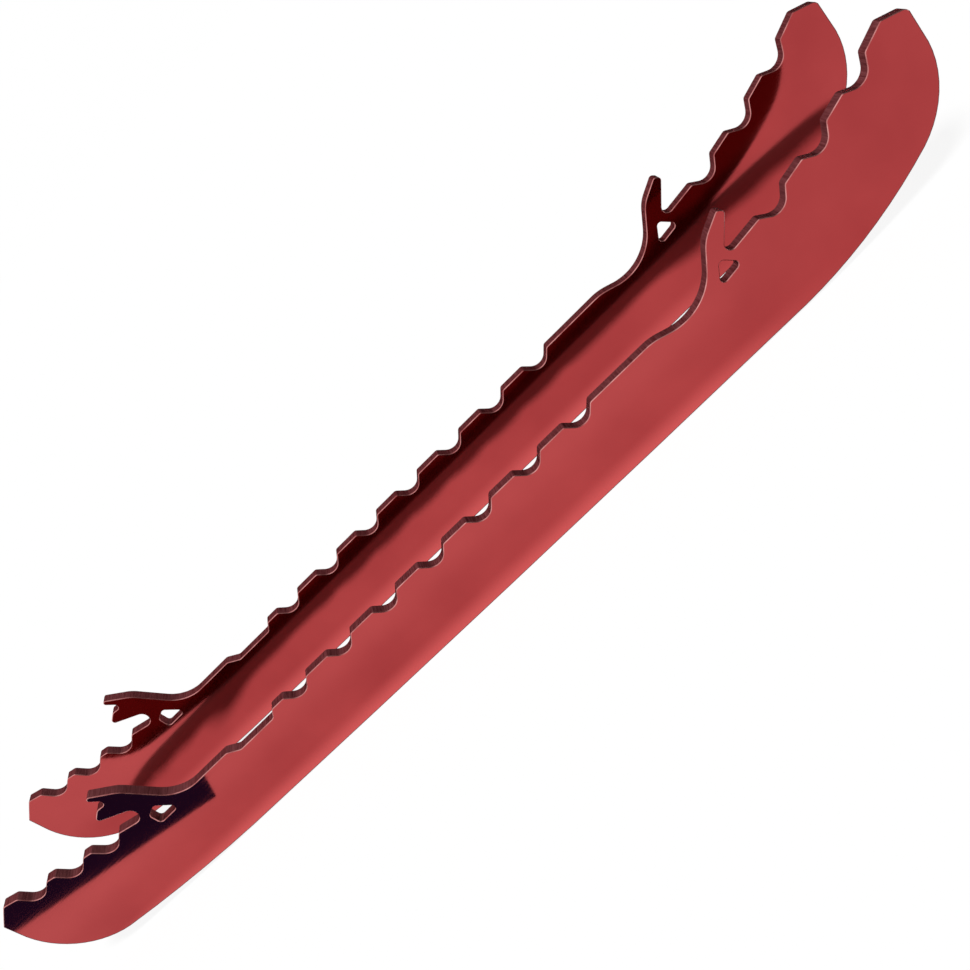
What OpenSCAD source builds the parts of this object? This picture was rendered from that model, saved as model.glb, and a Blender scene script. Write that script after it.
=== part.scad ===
// Pair of hockey skate runners, one for each foot, standing upright on their skating edges.
// Each runner is one piece of flat steel: a cut outline whose lower edge is ground hollow.
// X runs from heel to toe, Y across the pair and Z up. The origin is on the floor, midway
// along the runners and midway between them.

/* [Pair] */
// Length of a runner, from its heel end to its toe end
runner_length = 272; // [254:1:312]
// Thickness of the steel
steel_t = 2.8; // [2.4:0.1:3.4]
// Distance between the middle planes of the two runners
pair_spacing = 34.2; // [10:0.1:80]

/* [Skating edge] */
// Radius of the rocker that the skater glides on
rocker_r = 9000; // [2400:100:12000]
// Radius of the lift that follows the rocker towards the toe
toe_lift_r = 96; // [60:1:120]
// Slope at which the toe lift turns into the toe nose, in degrees
toe_lift_angle = 23; // [16:1:30]
// Radius of the toe nose
toe_nose_r = 18.8; // [14:0.2:24]
// Radius of the lift that follows the rocker towards the heel
heel_lift_r = 355; // [180:5:400]
// Slope at which the heel lift turns into the heel nose, in degrees
heel_lift_angle = 7.5; // [5:0.5:11]
// Radius of the heel nose
heel_nose_r = 18.6; // [14:0.2:21]
// Radius of the hollow that is ground across the edge
hollow_r = 12.7; // [8:0.1:25.4]

/* [Scallops] */
// Slope of a scallop's flanks, in degrees
scallop_flank = 47.5; // [42:0.5:55]
// Radius of a scallop's root
scallop_root_r = 3; // [2:0.1:3.6]
// Radius on the corners of the crests
crest_corner_r = 0.9; // [0.2:0.1:1.2]

/* [Seat] */
// Height of the seating crests above the floor
crest_z = 19; // [16:0.1:22]
// Depth of a scallop between two seating crests
seat_depth = 2.65; // [1.6:0.05:3.4]
// Distance from one seat scallop to the next
seat_pitch = 14.3; // [12:0.1:18]
// Shortest crest that may stand beside the recess
least_crest = 2; // [1:0.5:4]
// Length of the long crest, from the last scallop's middle to the wave
wave_crest = 21.1; // [12:0.1:26]
// Width of the long recess behind the scallops
recess_width = 15.2; // [10:0.1:20]
// Depth of that recess
recess_depth = 1.9; // [1:0.05:2.6]
// Slope of the recess towards the heel, in degrees
recess_ramp = 34; // [25:1:45]
// Radius of the recess corners
recess_r = 1.2; // [0.5:0.1:2]
// Length of the land between the recess and the latch
heel_land = 15.1; // [9:0.1:20]

/* [Toe crests] */
// Number of scallops along the toe
toe_scallops = 3; // [2:1:3]
// Radius of the line that the toe crests rise along
toe_crest_r = 152; // [130:1:200]
// Distance from the toe end to where that line is level
toe_crest_run = 69; // [64:0.5:74]
// Height of that line above the seat where it is level
toe_crest_lift = 1.15; // [0.5:0.05:2]
// Distance from the toe end to the middle of the first toe scallop
toe_first = 14.05; // [12.5:0.05:16]
// Distance from one toe scallop to the next, along the line
toe_pitch = 13.25; // [11:0.05:14]
// Depth of a toe scallop
toe_depth = 2.85; // [1.8:0.05:3.4]
// Length of the crest at the toe end
toe_end_crest = 5.7; // [4:0.1:7]
// Drop from that crest to the toe corner
toe_corner_drop = 1.9; // [1:0.1:3]
// Radius of the toe corner
toe_corner_r = 1.6; // [0.5:0.1:2.5]

/* [Toe hook] */
// Length of the throat floor, from the last toe scallop to the hook
throat_run = 10.2; // [8:0.1:13]
// Radius of the throat
throat_r = 1.4; // [0.8:0.1:1.8]
// Rise of the hook's tip above the throat
hook_rise = 7.8; // [6.5:0.1:10]
// Slope of the hook's front, in degrees
hook_front = 51.6; // [45:0.2:60]
// Slope of the hook's back, in degrees
hook_back = 55.5; // [48:0.5:62]
// Width of the hook across its neck
hook_neck = 4.5; // [3.5:0.1:6]
// Height above the throat at which the back bends over to the tip
hook_bend = 6.1; // [5:0.1:6.5]
// Radius of that bend, on the hook and on the latch
bend_r = 8; // [4:0.5:10]
// Width of the hook's blunt tip
tip_w = 1.8; // [1.2:0.1:2.4]
// Radius on the corners of the tips, on the hook and on the latch
tip_r = 0.8; // [0.2:0.1:1]
// Length of the wave, from its corner to the throat
wave_run = 20.7; // [18:0.1:24]
// Slope down from the wave's corner, in degrees
wave_slope = 18.5; // [14:0.5:22]
// Radius of the wave's corner
wave_corner_r = 12; // [4:0.5:16]
// Radius of the wave's hollow at the foot of the hook
wave_root_r = 11.5; // [6:0.5:14]

/* [Heel crests] */
// Number of scallops along the heel
heel_scallops = 3; // [2:1:3]
// Radius of the line that the heel crests rise along
heel_crest_r = 245; // [210:5:320]
// Distance from the heel end to where that line is level
heel_crest_run = 73.1; // [68:0.1:78]
// Height of that line above the seat where it is level
heel_crest_lift = 1.75; // [1:0.05:2.5]
// Distance from the heel end to the middle of the first heel scallop
heel_first = 12.5; // [11.5:0.1:14]
// Distance from one heel scallop to the next, along the line
heel_pitch = 10.4; // [9.5:0.1:12]
// Depth of a heel scallop
heel_depth = 3.05; // [2:0.05:3.4]
// Length of the crest at the heel end
heel_end_crest = 3.7; // [2.5:0.1:4.5]
// Drop from that crest to the heel corner
heel_corner_drop = 3.7; // [2:0.05:4.5]
// Radius of the heel corner
heel_corner_r = 0.8; // [0.3:0.1:1.5]

/* [Heel latch] */
// Length of the gap under the latch, from the last heel crest
gap_run = 7; // [6:0.1:9]
// Drop of the gap's floor below that crest
gap_drop = 1.85; // [1.2:0.05:2.5]
// Height of the gap at its closed end
gap_h = 3.85; // [3:0.05:4.5]
// Radius of the gap's closed end
gap_r = 2; // [1:0.1:2.2]
// Length of the lower prong over the gap
prong_run = 7.3; // [6.5:0.1:9]
// Slope of the lower prong's underside, in degrees
prong_slope = 28.2; // [22:0.2:32]
// Length of the lower prong's nose
prong_nose = 3; // [2:0.05:3.6]
// Height of the lower prong behind its nose
prong_h = 3.5; // [2.6:0.1:4]
// Radius on the top of the lower prong
prong_r = 1.5; // [0.5:0.1:2]
// Depth of the mouth between the prongs
mouth_depth = 3.75; // [2.4:0.05:4.2]
// Height of the mouth between the prongs
mouth_h = 3.2; // [2.2:0.05:3.4]
// Drop of the mouth's floor below the top of the lower prong
mouth_drop = 0.55; // [0:0.05:0.8]
// Radius of the mouth's closed end
mouth_r = 0.9; // [0.4:0.1:1.2]
// Distance by which the upper prong is shorter than the lower one's top
upper_set_back = 0.7; // [0:0.1:1.2]
// Width of the upper prong's blunt tip
upper_tip_w = 1.2; // [0.8:0.1:1.8]
// Width of the latch across its neck, at the height of the seat
latch_neck = 9.4; // [8.5:0.05:13]
// Slope of the latch's back, in degrees
latch_back = 59.4; // [52:0.2:62]
// Height above the seat at which the back bends over to the tip
latch_bend = 11.85; // [10:0.05:13]
// Radius of the corner between the latch and the land
latch_root_r = 9; // [2:0.5:12]

/* [Windows] */
// Radius on the corners of both windows
window_r = 0.9; // [0.4:0.1:1]
// Distance from the throat back to the toe window's lowest corner
toe_window_back = 3.75; // [3:0.05:4.5]
// Depth of that corner below the throat
toe_window_drop = 3.9; // [3.4:0.1:5]
// Width of the toe window
toe_window_w = 6.5; // [5:0.1:7.5]
// Height of the toe window
toe_window_h = 4.9; // [3.6:0.1:5]
// Distance from its lowest corner to its highest one, along the runner
toe_window_peak = 3; // [2.4:0.1:3.8]
// Rise of its corner towards the toe
toe_window_rise = 0.95; // [0.4:0.05:1.6]
// Wall between the gap's closed end and the heel window
heel_window_wall = 0.85; // [0.7:0.05:1.5]
// Depth of the heel window's floor below the gap's floor
heel_window_drop = 3.85; // [3.4:0.05:5]
// Width of the heel window
heel_window_w = 6.3; // [5:0.1:6.8]
// Height of the heel window
heel_window_h = 4.6; // [4:0.1:5.2]
// Distance from its upright side to its highest corner
heel_window_peak = 2.7; // [1.6:0.05:3]
// Height of its upright side
heel_window_side = 3.2; // [2.8:0.05:4]

/* [Hidden] */

// Largest distance between a drawn arc and its chords
chord_error = 0.004;
// Steel that the outline leaves outside the edge, for the hollow to be ground from
grind_stock = 0.05;
// Share of a straight stretch that the radii at its two ends may take up
corner_share = 0.98;
// Depth of the wheel's rim that runs along the edge
wheel_rim = 0.5;
// Distance by which the wheel is set out where the edge starts to curve more
wheel_set_out = 0.015;
// Length that the wheel runs on, off the steel, past the end of a flatter stretch
wheel_run_on = 5;
// Slope of the blunt tips, in degrees
tip_slope = 45;

toe_x = runner_length / 2;
heel_x = -runner_length / 2;
hollow_depth = hollow_r - sqrt(pow(hollow_r, 2) - pow(steel_t / 2, 2));

// Turn between two drawn points of an arc, in degrees
function arc_step(r) = 2 * acos(1 - chord_error / max(r, chord_error));
function on_circle(c, r, a) = [c.x + r * cos(a), c.y + r * sin(a)];

// Skating edge: five arcs that run smoothly into each other, from heel to toe,
// each [middle, radius, first angle, last angle]
toe_rocker = asin((toe_x - toe_lift_r * sin(toe_lift_angle)
    - toe_nose_r * (1 - sin(toe_lift_angle))) / (rocker_r - toe_lift_r));
heel_rocker = asin((-heel_x - heel_lift_r * sin(heel_lift_angle)
    - heel_nose_r * (1 - sin(heel_lift_angle))) / (rocker_r - heel_lift_r));
rocker_c = [0, rocker_r];
toe_lift_c = on_circle(rocker_c, rocker_r - toe_lift_r, 270 + toe_rocker);
toe_nose_c = on_circle(toe_lift_c, toe_lift_r - toe_nose_r, 270 + toe_lift_angle);
heel_lift_c = on_circle(rocker_c, rocker_r - heel_lift_r, 270 - heel_rocker);
heel_nose_c = on_circle(heel_lift_c, heel_lift_r - heel_nose_r, 270 - heel_lift_angle);
EDGE_ARCS = [
    [heel_nose_c, heel_nose_r, 180, 270 - heel_lift_angle],
    [heel_lift_c, heel_lift_r, 270 - heel_lift_angle, 270 - heel_rocker],
    [rocker_c, rocker_r, 270 - heel_rocker, 270 + toe_rocker],
    [toe_lift_c, toe_lift_r, 270 + toe_rocker, 270 + toe_lift_angle],
    [toe_nose_c, toe_nose_r, 270 + toe_lift_angle, 360],
];
HEEL_NOSE = 0;
ROCKER = 2;
TOE_NOSE = 4;

// Every outline corner is [x, z, radius]
function corner(p, r) = [p.x, p.y, r];

// The edge's points, with the stock for grinding
function edge_arc(arc) = let (n = ceil((arc[3] - arc[2]) / arc_step(arc[1])))
    [for (i = [1:n]) corner(on_circle(arc[0], arc[1] + grind_stock, arc[2] + (arc[3] - arc[2]) * i / n), 0)];
EDGE = [
    [heel_x - grind_stock, heel_nose_c.y, 0],
    for (arc = EDGE_ARCS) each edge_arc(arc),
];

// A scallop is a V with a round root. Its mouth is centred on m, on a line at angle a, and
// its three corners run from the toe side to the heel side.
function scallop_half(depth) =
    (depth + scallop_root_r * (1 / cos(scallop_flank) - 1)) / tan(scallop_flank);
function scallop(m, a, half) = let (along = [cos(a), sin(a)], inward = [sin(a), -cos(a)]) [
    corner(m + half * along, crest_corner_r),
    corner(m + half * tan(scallop_flank) * inward, scallop_root_r),
    corner(m - half * along, crest_corner_r),
];
seat_half = scallop_half(seat_depth);
toe_half = scallop_half(toe_depth);
heel_half = scallop_half(heel_depth);

// Toe: the crests rise along an arc, and a place on it is named by its angle from level
toe_line_c = [toe_x - toe_crest_run, crest_z + toe_crest_lift + toe_crest_r];
function on_toe_line(a) = on_circle(toe_line_c, toe_crest_r, 270 + a);
function toe_turn(along) = along / toe_crest_r * 180 / PI;
toe_first_a = asin((toe_crest_run - toe_first) / toe_crest_r);
toe_last_a = toe_first_a - (toe_scallops - 1) * toe_turn(toe_pitch);
toe_top = on_toe_line(toe_first_a + toe_turn(toe_half + toe_end_crest));
throat = on_toe_line(toe_last_a - toe_turn(toe_half + throat_run));
TOE = [
    [toe_x + grind_stock, toe_top.y - toe_corner_drop, toe_corner_r],
    corner(toe_top, crest_corner_r),
    for (i = [0:toe_scallops - 1]) let (a = toe_first_a - i * toe_turn(toe_pitch))
        each scallop(on_toe_line(a), a, toe_half),
];

// Hook: it leans over the throat towards the toe, and its back runs down into the wave
hook_tip = throat + hook_rise * [1 / tan(hook_front), 1];
hook_top = hook_tip + tip_w * [-cos(tip_slope), sin(tip_slope)];
hook_foot = throat - [hook_neck, 0];
wave_corner = [throat.x - wave_run, crest_z];
wave_root_x = (wave_corner.y - hook_foot.y + wave_corner.x * tan(wave_slope) + hook_foot.x * tan(hook_back))
    / (tan(wave_slope) + tan(hook_back));
HOOK = [
    corner(throat, throat_r),
    corner(hook_tip, tip_r),
    corner(hook_top, tip_r),
    corner(hook_foot + hook_bend * [1 / tan(hook_back), 1], bend_r),
    [wave_root_x, wave_corner.y - (wave_root_x - wave_corner.x) * tan(wave_slope), wave_root_r],
    corner(wave_corner, wave_corner_r),
];

// Heel: its crests lie on an arc too, which falls towards the latch
heel_line_c = [heel_x + heel_crest_run, crest_z + heel_crest_lift + heel_crest_r];
function on_heel_line(a) = on_circle(heel_line_c, heel_crest_r, 270 - a);
function heel_turn(along) = along / heel_crest_r * 180 / PI;
heel_first_a = asin((heel_crest_run - heel_first) / heel_crest_r);
heel_last_a = heel_first_a - (heel_scallops - 1) * heel_turn(heel_pitch);
heel_top = on_heel_line(heel_first_a + heel_turn(heel_half + heel_end_crest));
HEEL = [
    for (i = [heel_scallops - 1:-1:0]) let (a = heel_first_a - i * heel_turn(heel_pitch))
        each scallop(on_heel_line(a), -a, heel_half),
    corner(heel_top, crest_corner_r),
    [heel_x - grind_stock, heel_top.y - heel_corner_drop, heel_corner_r],
];

// Latch: two prongs with a mouth between them stand over the gap and point to the heel
gap_floor = on_heel_line(heel_last_a - heel_turn(heel_half)) + [gap_run, -gap_drop];
gap_roof = gap_floor + [0, gap_h];
prong_tip = gap_roof + prong_run * [-1, tan(prong_slope)];
prong_top = prong_tip + [prong_nose, prong_h - prong_nose * tan(prong_slope)];
upper_tip = prong_top + [upper_set_back, mouth_h];
latch_top = upper_tip + upper_tip_w * [cos(tip_slope), sin(tip_slope)];
latch_root = [gap_floor.x + latch_neck, crest_z];
LATCH = [
    corner(latch_root, latch_root_r),
    corner(latch_root + latch_bend * [-1 / tan(latch_back), 1], bend_r),
    corner(latch_top, tip_r),
    corner(upper_tip, tip_r),
    corner(prong_top + [mouth_depth, -mouth_drop], mouth_r),
    corner(prong_top, prong_r),
    corner(prong_tip, tip_r),
    corner(gap_roof, gap_r),
    corner(gap_floor, gap_r),
];

// Seat: scallops at one pitch from the wave back to the recess, as many as there is room for
first_seat_x = wave_corner.x - wave_crest;
recess_heel_x = latch_root.x + heel_land;
recess_toe_x = recess_heel_x + recess_width;
recess_z = crest_z - recess_depth;
seat_scallops = floor((first_seat_x - seat_half - least_crest - recess_toe_x) / seat_pitch) + 1;
SEAT = [
    for (i = [0:seat_scallops - 1]) each scallop([first_seat_x - i * seat_pitch, crest_z], 0, seat_half),
    [recess_toe_x, crest_z, crest_corner_r],
    [recess_toe_x - recess_depth / tan(scallop_flank), recess_z, recess_r],
    [recess_heel_x + recess_depth / tan(recess_ramp), recess_z, recess_r],
    [recess_heel_x, crest_z, recess_r],
];

// Windows: a rounded triangle under the hook, and one with a cut corner under the latch
toe_window = throat - [toe_window_back, toe_window_drop];
TOE_WINDOW = [
    corner(toe_window, window_r),
    corner(toe_window + [toe_window_w, toe_window_rise], window_r),
    corner(toe_window + [toe_window_peak, toe_window_h], window_r),
];
heel_window = gap_floor + [heel_window_wall, -heel_window_drop];
HEEL_WINDOW = [
    corner(heel_window, window_r),
    corner(heel_window + [heel_window_w, 0], window_r),
    corner(heel_window + [heel_window_peak, heel_window_h], window_r),
    corner(heel_window + [0, heel_window_side], window_r),
];

// A closed outline with each corner rounded to its radius. Where two radii don't fit on the
// stretch between them, both shrink by the same share.
function flat(p) = [p.x, p.y];
function before(p, i) = flat(p[i]) - flat(p[(i + len(p) - 1) % len(p)]);
function after(p, i) = flat(p[(i + 1) % len(p)]) - flat(p[i]);
function rounded(p) = let (
        last = len(p) - 1,
        turns = [for (i = [0:last]) let (a = before(p, i), b = after(p, i)) atan2(a.x * b.y - a.y * b.x, a * b)],
        cuts = [for (i = [0:last]) p[i][2] * tan(abs(turns[i]) / 2)],
        shares = [for (i = [0:last]) let (both = cuts[i] + cuts[(i + 1) % len(p)])
            both == 0 ? 1 : min(1, corner_share * norm(after(p, i)) / both)]
    ) [for (i = [0:last]) let (share = min(shares[i], shares[(i + last) % len(p)]))
        each rounded_corner(flat(p[i]), before(p, i), turns[i], p[i][2] * share, cuts[i] * share)];
function rounded_corner(at, way, turn, r, cut) = r == 0 ? [at] : let (
        along = way / norm(way),
        left = sign(turn) * [-along.y, along.x],
        c = at - cut * along + r * left,
        n = ceil(abs(turn) / arc_step(r))
    ) [for (i = [0:n]) on_circle(c, r, atan2(-left.y, -left.x) + turn * i / n)];

// The flat outline, with X along the runner and Y up
module outline() {
    difference() {
        polygon(rounded(concat(EDGE, TOE, HOOK, SEAT, LATCH, HEEL)));
        polygon(rounded(TOE_WINDOW));
        polygon(rounded(HEEL_WINDOW));
    }
}

// Profile of the grinding wheel's rim, with the two corners of the edge at X = 0
module wheel() {
    intersection() {
        translate([hollow_r - hollow_depth, 0])
            circle(r = hollow_r, $fn = ceil(360 / arc_step(hollow_r)));
        translate([-wheel_rim, -steel_t])
            square([2 * wheel_rim, 2 * steel_t]);
    }
}

// The wheel's path along one arc of the edge. The further an arc is from the rocker the more it
// curves, so its path is set out and crosses the flatter one, which runs on past its end.
module arc_path(i) {
    arc = EDGE_ARCS[i];
    run_on = i == HEEL_NOSE || i == TOE_NOSE ? 0 : wheel_run_on / arc[1] * 180 / PI;
    first = arc[2] - (i <= ROCKER ? run_on : 0);
    last = arc[3] + (i >= ROCKER ? run_on : 0);
    translate([arc[0].x, arc[0].y])
        rotate(first)
            rotate_extrude(angle = last - first, $fn = ceil(360 / arc_step(arc[1])))
                translate([arc[1] + abs(i - ROCKER) * wheel_set_out, 0])
                    wheel();
}

// The wheel's path up one end, from outside the nose to the top crest
module end_path(nose_z, top_z) {
    translate([toe_x, top_z])
        rotate([90, 0, 0])
            linear_extrude(height = top_z - nose_z + wheel_run_on)
                wheel();
}

// One runner, upright, with the middle of its thickness on the plane Y = 0
module runner() {
    rotate([90, 0, 0]) difference() {
        linear_extrude(height = steel_t, center = true) outline();
        for (i = [HEEL_NOSE:TOE_NOSE]) arc_path(i);
        end_path(toe_nose_c.y, toe_top.y);
        mirror([1, 0, 0]) end_path(heel_nose_c.y, heel_top.y);
    }
}

module left_runner() {
    color("firebrick") translate([0, pair_spacing / 2, 0]) runner();
}

module right_runner() {
    color("firebrick") translate([0, -pair_spacing / 2, 0]) runner();
}

left_runner();
right_runner();
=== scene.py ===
from math import radians

import bpy
from mathutils import Matrix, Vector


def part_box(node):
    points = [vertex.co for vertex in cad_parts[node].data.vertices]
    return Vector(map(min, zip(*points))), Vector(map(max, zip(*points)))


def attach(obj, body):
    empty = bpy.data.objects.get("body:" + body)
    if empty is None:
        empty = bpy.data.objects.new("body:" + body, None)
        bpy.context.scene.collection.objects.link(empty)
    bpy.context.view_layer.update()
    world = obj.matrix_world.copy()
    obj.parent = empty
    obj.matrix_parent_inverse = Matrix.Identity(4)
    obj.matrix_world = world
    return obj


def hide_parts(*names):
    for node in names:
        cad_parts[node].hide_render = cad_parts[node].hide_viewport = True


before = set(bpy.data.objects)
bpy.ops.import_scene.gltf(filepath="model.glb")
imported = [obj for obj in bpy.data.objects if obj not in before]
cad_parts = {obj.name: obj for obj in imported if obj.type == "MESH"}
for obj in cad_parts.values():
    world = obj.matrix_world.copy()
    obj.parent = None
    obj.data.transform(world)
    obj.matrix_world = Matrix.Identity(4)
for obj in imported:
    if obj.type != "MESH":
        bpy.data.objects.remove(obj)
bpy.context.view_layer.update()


# Polished coat. The flat sides are ground along their length, polished to a
# mirror and covered with a thin red hard coating, a little cloudy. A painted
# reflection makes it paler near the skating edge and a little towards the top along the
# seat, but not at the toe.
coat_red = (0.362, 0.044, 0.046, 1)
coat_red_pale = (0.422, 0.056, 0.057, 1)
coat_roughness = (0.05, 0.09)
# Painted reflection: the coat is paler near the skating edge and a little towards the top,
# fading out before the toe.
coat_painted_sheen = (0.59, 0.098, 0.098, 1)
painted_sheen_by_height = ((0, 1), (0.0052, 0), (0.009, 0), (0.0175, 0.28))
sheen_fades_before_toe = (0.055, 0.105)
cloud_size = 0.022
grind_line = (0.030, 1, 0.00035)
grind_depth = 0.0000007
grain_low, grain_high = 0.3, 0.7


def new_finish(name):
    """A metal finish with its node tree, its shader and its own place on the piece."""
    finish = bpy.data.materials.new(name)
    finish.use_nodes = True
    tree = finish.node_tree
    shader = tree.nodes["Principled BSDF"]
    shader.inputs["Metallic"].default_value = 1
    place = tree.nodes.new("ShaderNodeTexCoord")
    return finish, tree, shader, place.outputs["Object"]


def grain(tree, place, size, detail=3):
    """Noise whose features are as long as size along each axis, in metres."""
    stretch = tree.nodes.new("ShaderNodeMapping")
    stretch.inputs["Scale"].default_value = [1 / length for length in size]
    noise = tree.nodes.new("ShaderNodeTexNoise")
    noise.inputs["Scale"].default_value = 1
    noise.inputs["Detail"].default_value = detail
    tree.links.new(place, stretch.inputs["Vector"])
    tree.links.new(stretch.outputs["Vector"], noise.inputs["Vector"])
    return noise.outputs["Fac"]


def tint(tree, grains, first, second, socket):
    """Shades a colour socket from one tint to another by a grain."""
    ramp = tree.nodes.new("ShaderNodeValToRGB")
    ramp.color_ramp.elements[0].position = grain_low
    ramp.color_ramp.elements[0].color = first
    ramp.color_ramp.elements[1].position = grain_high
    ramp.color_ramp.elements[1].color = second
    tree.links.new(grains, ramp.inputs["Fac"])
    tree.links.new(ramp.outputs["Color"], socket)


def spread(tree, grains, lowest, highest, socket):
    """Sets a number socket between two values by a grain."""
    span = tree.nodes.new("ShaderNodeMapRange")
    span.inputs["From Min"].default_value = grain_low
    span.inputs["From Max"].default_value = grain_high
    span.inputs["To Min"].default_value = lowest
    span.inputs["To Max"].default_value = highest
    tree.links.new(grains, span.inputs["Value"])
    tree.links.new(span.outputs["Result"], socket)


def ridges(tree, grains, depth, shader):
    """Gives a shader the relief of a grain, as deep as depth in metres."""
    bump = tree.nodes.new("ShaderNodeBump")
    bump.inputs["Strength"].default_value = 1
    bump.inputs["Distance"].default_value = depth
    tree.links.new(grains, bump.inputs["Height"])
    tree.links.new(bump.outputs["Normal"], shader.inputs["Normal"])


polished_coat, tree, shader, place = new_finish("polished_red_coat")
# Painted reflection: the coat is mixed towards a paler colour by height above the ground
# edge, and this fades out before the toe.
spot = tree.nodes.new("ShaderNodeSeparateXYZ")
tree.links.new(place, spot.inputs["Vector"])
top = painted_sheen_by_height[-1][0]
height = tree.nodes.new("ShaderNodeMapRange")
height.inputs["From Max"].default_value = top
tree.links.new(spot.outputs["Z"], height.inputs["Value"])
sheen_ramp = tree.nodes.new("ShaderNodeValToRGB")
sheen_ramp.color_ramp.interpolation = "EASE"
for above_ice, _ in painted_sheen_by_height[1:-1]:
    sheen_ramp.color_ramp.elements.new(above_ice / top)
for stop, (_, sheen_level) in zip(sheen_ramp.color_ramp.elements, painted_sheen_by_height):
    stop.color = (sheen_level, sheen_level, sheen_level, 1)
tree.links.new(height.outputs["Result"], sheen_ramp.inputs["Fac"])
before_toe = tree.nodes.new("ShaderNodeMapRange")
before_toe.interpolation_type = "SMOOTHSTEP"
before_toe.inputs["From Min"].default_value = sheen_fades_before_toe[0]
before_toe.inputs["From Max"].default_value = sheen_fades_before_toe[1]
before_toe.inputs["To Min"].default_value = 1
before_toe.inputs["To Max"].default_value = 0
tree.links.new(spot.outputs["X"], before_toe.inputs["Value"])
sheen_amount = tree.nodes.new("ShaderNodeMath")
sheen_amount.operation = "MULTIPLY"
tree.links.new(sheen_ramp.outputs["Color"], sheen_amount.inputs[0])
tree.links.new(before_toe.outputs["Result"], sheen_amount.inputs[1])
paler = tree.nodes.new("ShaderNodeMix")
paler.data_type = "RGBA"
paler.inputs[7].default_value = coat_painted_sheen
tree.links.new(sheen_amount.outputs["Value"], paler.inputs[0])
tint(tree, grain(tree, place, [cloud_size] * 3), coat_red, coat_red_pale, paler.inputs[6])
tree.links.new(paler.outputs[2], shader.inputs["Base Color"])
lines = grain(tree, place, grind_line)
spread(tree, lines, *coat_roughness, shader.inputs["Roughness"])
ridges(tree, lines, grind_depth, shader)


# Cut edges. The outline is cut through the sheet, which leaves fine lines
# across its thickness. The coating is darker and duller on them. The thin rim
# beside the ground edge is given the same finish, which draws a dark line along it.
cut_red = (0.115, 0.032, 0.035, 1)
cut_red_pale = (0.235, 0.078, 0.083, 1)
cut_edge_tint = (0.10, 0.04, 0.04, 1)
cut_roughness = (0.45, 0.60)
cut_line = (0.00025, 0.004, 0.00025)
cut_depth = 0.00001

cut_coat, tree, shader, place = new_finish("cut_edge_coat")
shader.inputs["Specular Tint"].default_value = cut_edge_tint
lines = grain(tree, place, cut_line)
tint(tree, lines, cut_red, cut_red_pale, shader.inputs["Base Color"])
spread(tree, lines, *cut_roughness, shader.inputs["Roughness"])
ridges(tree, lines, cut_depth, shader)


# Arris. The two rims of the cut outline are broken by hand, and the coating
# wears thin there, so that the steel shines through it as a dull pale line.
arris_width = 0.00016
arris_red = (0.30, 0.07, 0.07, 1)
arris_pale = (0.62, 0.27, 0.26, 1)
arris_roughness = (0.22, 0.34)
arris_wear = (0.003, 0.003, 0.003)

worn_arris, tree, shader, place = new_finish("worn_arris")
wear = grain(tree, place, arris_wear)
tint(tree, wear, arris_red, arris_pale, shader.inputs["Base Color"])
spread(tree, wear, *arris_roughness, shader.inputs["Roughness"])


# Ground edge. A wheel grinds a shallow hollow along the skating edge and up
# both noses, which leaves bare steel with lines along its length.
bare_steel = (0.50, 0.49, 0.48, 1)
bare_steel_pale = (0.66, 0.65, 0.64, 1)
ground_roughness = (0.20, 0.32)
wheel_line = (0.012, 0.00012, 0.012)
wheel_depth = 0.000003

ground_steel, tree, shader, place = new_finish("ground_steel")
lines = grain(tree, place, wheel_line)
tint(tree, lines, bare_steel, bare_steel_pale, shader.inputs["Base Color"])
spread(tree, lines, *ground_roughness, shader.inputs["Roughness"])
ridges(tree, lines, wheel_depth, shader)


# Right runner. One flat piece of hardened steel, with its hook, latch and
# scallops cut in the same sheet, stands on its ground edge in front.
COAT, CUT, ARRIS, GROUND = range(4)
weld = 0.00002
level = 0.002
smooth_up_to = radians(45)
flat_side, flat_rim, flat_cut = 0.99, 0.95, 0.004


def select_faces(mesh, wanted):
    """Leaves only the faces selected that have one of the wanted finishes."""
    bpy.ops.object.mode_set(mode="EDIT")
    bpy.ops.mesh.select_mode(type="FACE")
    bpy.ops.mesh.select_all(action="DESELECT")
    bpy.ops.object.mode_set(mode="OBJECT")
    for face in mesh.polygons:
        face.select = face.material_index in wanted
    bpy.ops.object.mode_set(mode="EDIT")


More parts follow.
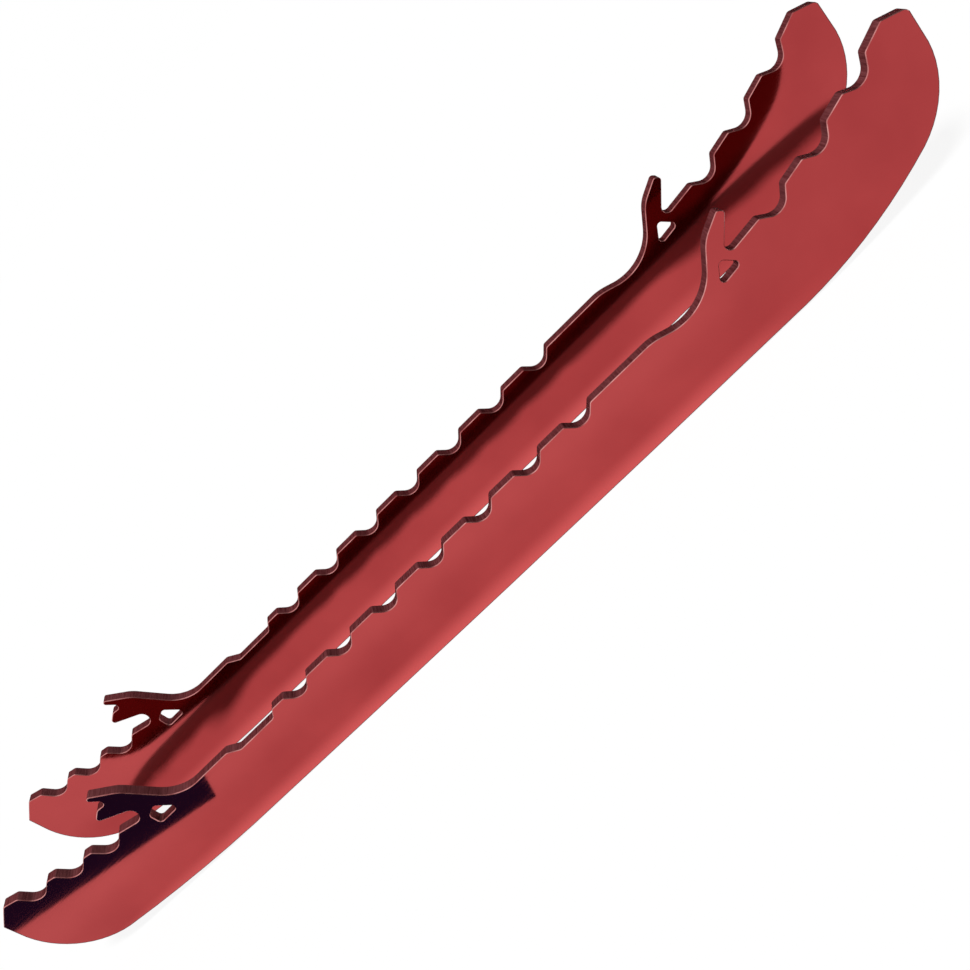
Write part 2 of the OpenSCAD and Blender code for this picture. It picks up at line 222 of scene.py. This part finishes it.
def finished_runner(node_name, piece_name):
    """A runner in its finishes: the node's own shape with both its rims broken."""
    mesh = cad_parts[node_name].data.copy()
    mesh.materials.clear()
    for finish in (polished_coat, cut_coat, worn_arris, ground_steel):
        mesh.materials.append(finish)
    runner = bpy.data.objects.new(piece_name, mesh)
    bpy.context.collection.objects.link(runner)
    bpy.ops.object.select_all(action="DESELECT")
    runner.select_set(True)
    bpy.context.view_layer.objects.active = runner

    bpy.ops.object.mode_set(mode="EDIT")
    bpy.ops.mesh.select_all(action="SELECT")
    bpy.ops.mesh.remove_doubles(threshold=weld)
    bpy.ops.mesh.customdata_custom_splitnormals_clear()
    bpy.ops.object.mode_set(mode="OBJECT")
    right, left = (corner.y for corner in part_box(node_name))
    for vertex in mesh.vertices:
        for side in (right, left):
            if abs(vertex.co.y - side) < weld:
                vertex.co.y = side
    bpy.ops.object.mode_set(mode="EDIT")
    bpy.ops.mesh.dissolve_limited(angle_limit=level)
    bpy.ops.object.mode_set(mode="OBJECT")
    for face in mesh.polygons:
        lean = abs(face.normal.y)
        if lean > flat_side:
            face.material_index = COAT
        elif lean > flat_cut:
            face.material_index = GROUND
        else:
            face.material_index = CUT

    select_faces(mesh, (COAT,))
    bpy.ops.mesh.inset(thickness=arris_width)
    bpy.ops.mesh.select_mode(type="VERT")
    bpy.ops.mesh.select_all(action="DESELECT")
    bpy.ops.object.mode_set(mode="OBJECT")
    rim, hollow = (
        {i for face in mesh.polygons if face.material_index == finish for i in face.vertices}
        for finish in (CUT, GROUND))
    for vertex in mesh.vertices:
        vertex.select = vertex.index in rim - hollow
    bpy.ops.object.mode_set(mode="EDIT")
    bpy.ops.transform.resize(value=(1, 1 - 2 * arris_width / (left - right), 1),
                             center_override=(0, (left + right) / 2, 0))
    bpy.ops.object.mode_set(mode="OBJECT")
    for face in mesh.polygons:
        if face.material_index == COAT and hollow.intersection(face.vertices):
            face.material_index = CUT
        elif face.material_index == COAT and abs(face.normal.y) < flat_rim:
            face.material_index = ARRIS

    bpy.ops.object.shade_smooth_by_angle(angle=smooth_up_to)
    for wanted in ((COAT,), (CUT,)):
        select_faces(mesh, wanted)
        bpy.ops.mesh.region_to_loop()
        bpy.ops.mesh.mark_sharp()
        bpy.ops.object.mode_set(mode="OBJECT")
    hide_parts(node_name)
    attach(runner, "root")
    return runner


finished_runner("right_runner", "right_runner_finished")


# Left runner. The same piece of steel again, cut and finished like the other,
# stands behind it on a ground edge of its own.
finished_runner("left_runner", "left_runner_finished")


# Floor. A plain white table top, which is lit as any surface is and shows
# as white to the camera and in the polished steel, with its shadows kept. It
# is dimmer where the two runners mirror it to each other.
floor_size = 8
floor_white = (0.94, 0.94, 0.94, 1)
floor_roughness = 0.9
floor_gloss = 0.1
floor_lift = 0.9
floor_lift_in_steel = 0.02
floor_dim = 0.32

bpy.ops.object.select_all(action="DESELECT")
bpy.ops.mesh.primitive_plane_add(size=floor_size, location=(0, 0, 0))
floor = bpy.context.object
floor.name = "floor"
table_top = bpy.data.materials.new("white_table_top")
table_top.use_nodes = True
tree = table_top.node_tree
shader = tree.nodes["Principled BSDF"]
shader.inputs["Roughness"].default_value = floor_roughness
shader.inputs["Specular IOR Level"].default_value = floor_gloss
rays = tree.nodes.new("ShaderNodeLightPath")
turns = tree.nodes.new("ShaderNodeMapRange")
turns.inputs["From Min"].default_value = 1
turns.inputs["From Max"].default_value = 2
dimmer = tree.nodes.new("ShaderNodeValToRGB")
dimmer.color_ramp.elements[0].color = floor_white
dimmer.color_ramp.elements[1].color = [floor_dim * part for part in floor_white[:3]] + [1]
tree.links.new(rays.outputs["Glossy Depth"], turns.inputs["Value"])
tree.links.new(turns.outputs["Result"], dimmer.inputs["Fac"])
tree.links.new(dimmer.outputs["Color"], shader.inputs["Base Color"])
share = None
for ray, lift in (("Is Camera Ray", floor_lift), ("Is Transmission Ray", floor_lift),
                  ("Is Glossy Ray", floor_lift_in_steel)):
    part = tree.nodes.new("ShaderNodeMath")
    part.operation = "MULTIPLY_ADD"
    part.inputs[1].default_value = lift
    part.inputs[2].default_value = 0
    tree.links.new(rays.outputs[ray], part.inputs[0])
    if share:
        tree.links.new(share.outputs["Value"], part.inputs[2])
    share = part
white = tree.nodes.new("ShaderNodeEmission")
lifted = tree.nodes.new("ShaderNodeMixShader")
tree.links.new(share.outputs["Value"], lifted.inputs["Fac"])
tree.links.new(shader.outputs["BSDF"], lifted.inputs[1])
tree.links.new(white.outputs["Emission"], lifted.inputs[2])
tree.links.new(lifted.outputs["Shader"], tree.nodes["Material Output"].inputs["Surface"])
floor.data.materials.append(table_top)


# Dark card. It lies on the floor in front of the heel and is seen only in
# the polished steel, whose upper half it darkens there.
card_blue = (0.020, 0.028, 0.12, 1)
card_corners = ((-0.0937, -0.0402), (-0.400, -0.122), (-0.400, -0.350), (-0.218, -0.350))
card_height = 0.0004
card_roughness = 0.9

card_mesh = bpy.data.meshes.new("dark_card")
card_mesh.from_pydata([(x, y, card_height) for x, y in card_corners], [], [(0, 1, 2, 3)])
card = bpy.data.objects.new("dark_card", card_mesh)
bpy.context.collection.objects.link(card)
card_paper = bpy.data.materials.new("dark_paper")
card_paper.use_nodes = True
shader = card_paper.node_tree.nodes["Principled BSDF"]
shader.inputs["Base Color"].default_value = card_blue
shader.inputs["Roughness"].default_value = card_roughness
shader.inputs["Specular IOR Level"].default_value = 0
card_mesh.materials.append(card_paper)
card.visible_camera = False
card.visible_diffuse = False
card.visible_transmission = False
card.visible_shadow = False


# Light. A pale room lights the runners from all around. It shows as white
# beyond the floor, and in the steel, where it is darker towards the heel. A
# broad key light high on the camera's side lights the floor.
room_light = 0.20
heel_side, toe_side = (0.60, 0), (0.15, 1)
key_strength = 3.05
key_width = radians(15)
key_turn, key_tilt = radians(-12), radians(24)

room = bpy.data.worlds.new("pale_room")
bpy.context.scene.world = room
room.use_nodes = True
tree = room.node_tree
rays = tree.nodes.new("ShaderNodeLightPath")
place = tree.nodes.new("ShaderNodeTexCoord")
along = tree.nodes.new("ShaderNodeSeparateXYZ")
fall = tree.nodes.new("ShaderNodeMapRange")
fall.inputs["From Min"].default_value, fall.inputs["To Min"].default_value = heel_side
fall.inputs["From Max"].default_value, fall.inputs["To Max"].default_value = toe_side
tree.links.new(place.outputs["Generated"], along.inputs["Vector"])
tree.links.new(along.outputs["X"], fall.inputs["Value"])
share = None
for ray in ("Is Camera Ray", "Is Transmission Ray", "Is Glossy Ray"):
    part = tree.nodes.new("ShaderNodeMath")
    part.operation = "MULTIPLY_ADD"
    part.inputs[1].default_value = 1 - room_light
    part.inputs[2].default_value = room_light
    tree.links.new(rays.outputs[ray], part.inputs[0])
    if share:
        tree.links.new(share.outputs["Value"], part.inputs[2])
    if ray == "Is Glossy Ray":
        tree.links.new(fall.outputs["Result"], part.inputs[1])
    share = part
background = tree.nodes["Background"]
background.inputs["Color"].default_value = (1, 1, 1, 1)
tree.links.new(share.outputs["Value"], background.inputs["Strength"])

sun = bpy.data.lights.new("key_light", "SUN")
sun.energy = key_strength
sun.angle = key_width
key_light = bpy.data.objects.new("key_light", sun)
key_light.matrix_world = (Matrix.Rotation(key_turn, 4, "Z")
                          @ Matrix.Rotation(key_tilt, 4, "X"))
key_light.visible_glossy = False
bpy.context.collection.objects.link(key_light)


# Camera. It stands in front of the pair, above the toe half, looks down at
# it and is rolled far over, so that the runners cross the picture.
focal_length, sensor_width = 38.594, 36
camera_place = (0.05537, -0.20635, 0.12060)
camera_turn, camera_tilt, camera_roll = radians(11.485), radians(62.828), radians(-49.399)

lens = bpy.data.cameras.new("camera")
lens.lens = focal_length
lens.sensor_width = sensor_width
lens.clip_start = 0.01
camera = bpy.data.objects.new("camera", lens)
camera.matrix_world = (Matrix.Translation(camera_place)
                       @ Matrix.Rotation(camera_turn, 4, "Z")
                       @ Matrix.Rotation(camera_tilt, 4, "X")
                       @ Matrix.Rotation(camera_roll, 4, "Z"))
bpy.context.collection.objects.link(camera)
bpy.context.scene.camera = camera
bpy.context.scene.view_settings.view_transform = "Standard"
